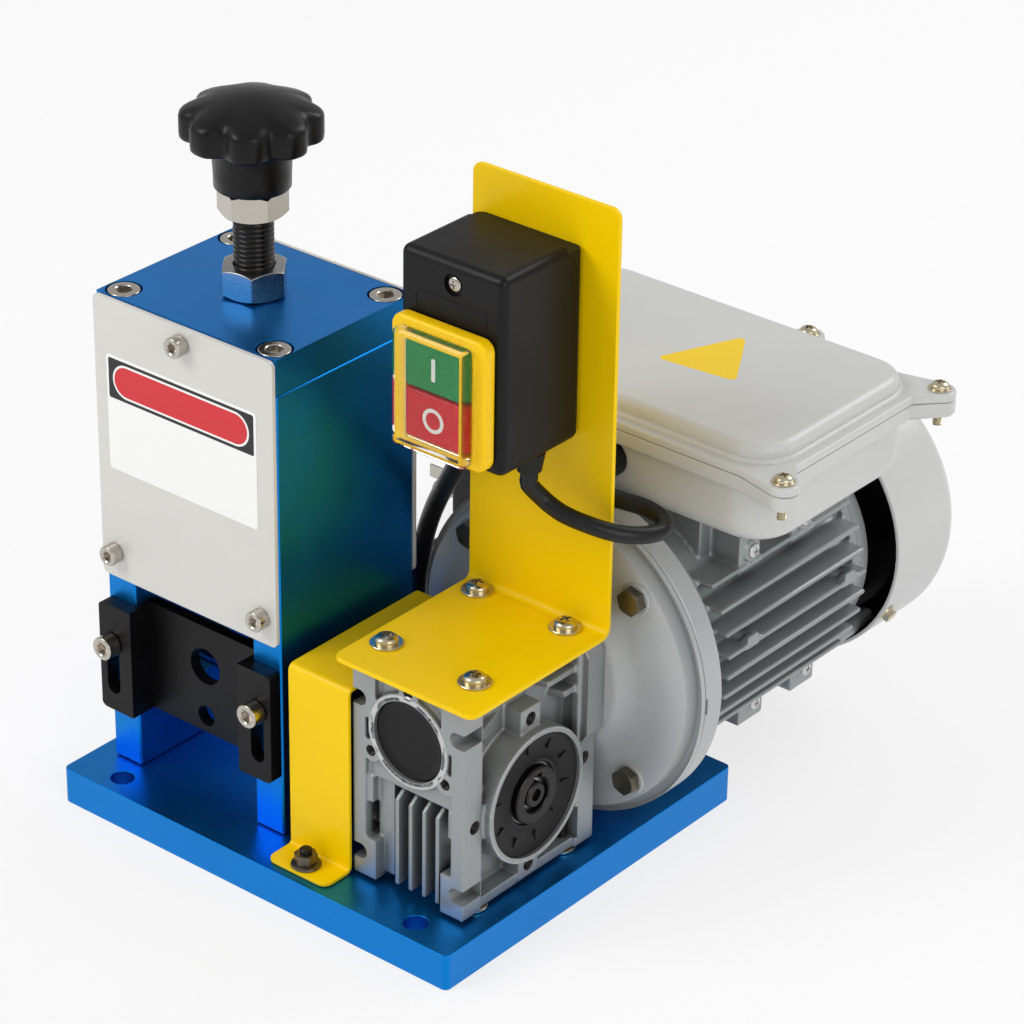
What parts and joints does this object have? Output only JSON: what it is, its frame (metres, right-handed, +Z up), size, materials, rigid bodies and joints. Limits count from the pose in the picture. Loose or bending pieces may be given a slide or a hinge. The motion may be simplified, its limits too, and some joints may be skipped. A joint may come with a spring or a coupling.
{
  "type": "wire stripping machine",
  "caption": "Motor-driven bench wire stripper: a top knob lowers a round blade over a toothed feed roller behind a cable guide; worm gearbox, motor, start and stop buttons.",
  "frame": {"origin": "centre of the base plate's underside, on the bench", "axes": "+X along the plate's front edge from the stripping head to the gearbox, +Y back along the motor's axis, +Z up"},
  "size_m": [0.3206, 0.3135, 0.3098],
  "materials": {
    "blue_aluminium": "satin blue anodised",
    "brushed_sheet": "brushed",
    "yellow_sheet": "yellow powder coat",
    "cast_aluminium": "sand-blasted casting",
    "grey_paint": "light grey gloss paint",
    "steel": "machined",
    "zinc_steel": "zinc plated",
    "black_steel": "black oxide",
    "black_plastic": "fine texture",
    "black_rubber": "matte",
    "red_plastic": "gloss",
    "green_plastic": "gloss",
    "clear_plastic": "clear soft",
    "bronze": "machined bronze",
    "winding": "lacquered copper and laminated steel",
    "yellow_plastic": "gloss"
  },
  "bodies": {
    "frame": {"base_plate": "blue_aluminium", "head_side_left": "blue_aluminium", "head_side_right": "blue_aluminium", "head_top_plate": "blue_aluminium", "front_cover": "brushed_sheet", "rear_cover": "brushed_sheet", "run_capacitor": "brushed_sheet", "drive_guard": "yellow_sheet", "switch_bracket": "yellow_sheet", "gearbox_housing": "cast_aluminium", "gearbox_flange": "cast_aluminium", "motor_flange": "cast_aluminium", "motor_housing": "cast_aluminium", "motor_end_shield": "cast_aluminium", "terminal_box": "grey_paint", "terminal_lid": "grey_paint", "fan_cover": "grey_paint", "drive_bearing_left": "steel", "drive_bearing_right": "steel", "cover_screw_top": "zinc_steel", "cover_screw_left": "zinc_steel", "cover_screw_right": "zinc_steel", "guide_screw_left": "zinc_steel", "guide_screw_right": "zinc_steel", "guard_nut": "zinc_steel", "foot_spacer_front_left": "zinc_steel", "foot_spacer_front_right": "zinc_steel", "foot_spacer_back_left": "zinc_steel", "foot_spacer_back_right": "zinc_steel", "switch_box": "black_plastic", "worm_end_cap": "black_plastic", "motor_cable_gland": "black_plastic", "switch_frame": "yellow_plastic", "output_seal_left": "black_rubber", "output_seal_right": "black_rubber", "switch_cable_bush": "black_rubber", "switch_cable": "black_rubber", "mains_strain_relief": "black_rubber", "mains_cord": "black_rubber", "mains_cord_coil": "black_rubber", "mains_plug": "black_rubber", "switch_cover": "clear_plastic", "motor_stator": "winding"},
    "guide": {"cable_guide": "black_steel"},
    "carriage": {"blade_carriage": "steel"},
    "blade": {"blade_shaft": "steel", "stripping_blade": "steel"},
    "spindle": {"adjusting_spindle": "black_steel", "knob_nut": "zinc_steel", "adjusting_knob": "black_plastic"},
    "lock": {"lock_nut": "zinc_steel"},
    "drive": {"drive_shaft": "steel", "feed_roller": "steel", "worm_wheel": "bronze", "output_sleeve": "steel"},
    "motor": {"worm_shaft": "steel", "motor_rotor": "steel", "cooling_fan": "black_plastic"},
    "start": {"on_button": "green_plastic"},
    "stop": {"off_button": "red_plastic"}
  },
  "joints": [
    {"name": "motor_spin", "type": "hinge", "parent": "frame", "child": "motor", "pos_m": [0.066, 0.09, 0.0875], "axis": [0, 1, 0], "continuous": true},
    {"name": "drive_spin", "type": "hinge", "parent": "frame", "child": "drive", "pos_m": [0.066, -0.03, 0.0575], "axis": [1, 0, 0], "continuous": true},
    {"name": "guide_slide", "type": "slide", "parent": "frame", "child": "guide", "axis": [0, 0, 1], "range_m": [0, 0.011]},
    {"name": "knob_turn", "type": "hinge", "parent": "carriage", "child": "spindle", "pos_m": [-0.047, -0.03, 0.2717], "axis": [0, 0, 1], "range_deg": [-2520, 1800]},
    {"name": "carriage_slide", "type": "slide", "parent": "frame", "child": "carriage", "axis": [0, 0, 1], "range_m": [-0.014, 0.01]},
    {"name": "blade_spin", "type": "hinge", "parent": "carriage", "child": "blade", "pos_m": [-0.047, -0.03, 0.1045], "axis": [1, 0, 0], "continuous": true},
    {"name": "start_press", "type": "slide", "parent": "frame", "child": "start", "axis": [0, 1, 0], "range_m": [0, 0.003], "stiffness_N_per_m": 400},
    {"name": "stop_press", "type": "slide", "parent": "frame", "child": "stop", "axis": [0, 1, 0], "range_m": [0, 0.003], "stiffness_N_per_m": 400},
    {"name": "lock_nut_turn", "type": "hinge", "parent": "frame", "child": "lock", "pos_m": [-0.047, -0.03, 0.2273], "axis": [0, 0, 1], "range_deg": [0, 90]}
  ],
  "couplings": [
    {"joint": "drive_spin", "follows": "motor_spin", "ratio": 0.033333},
    {"joint": "knob_turn", "follows": "carriage_slide", "rad_per_m": 3141.6}
  ]
}
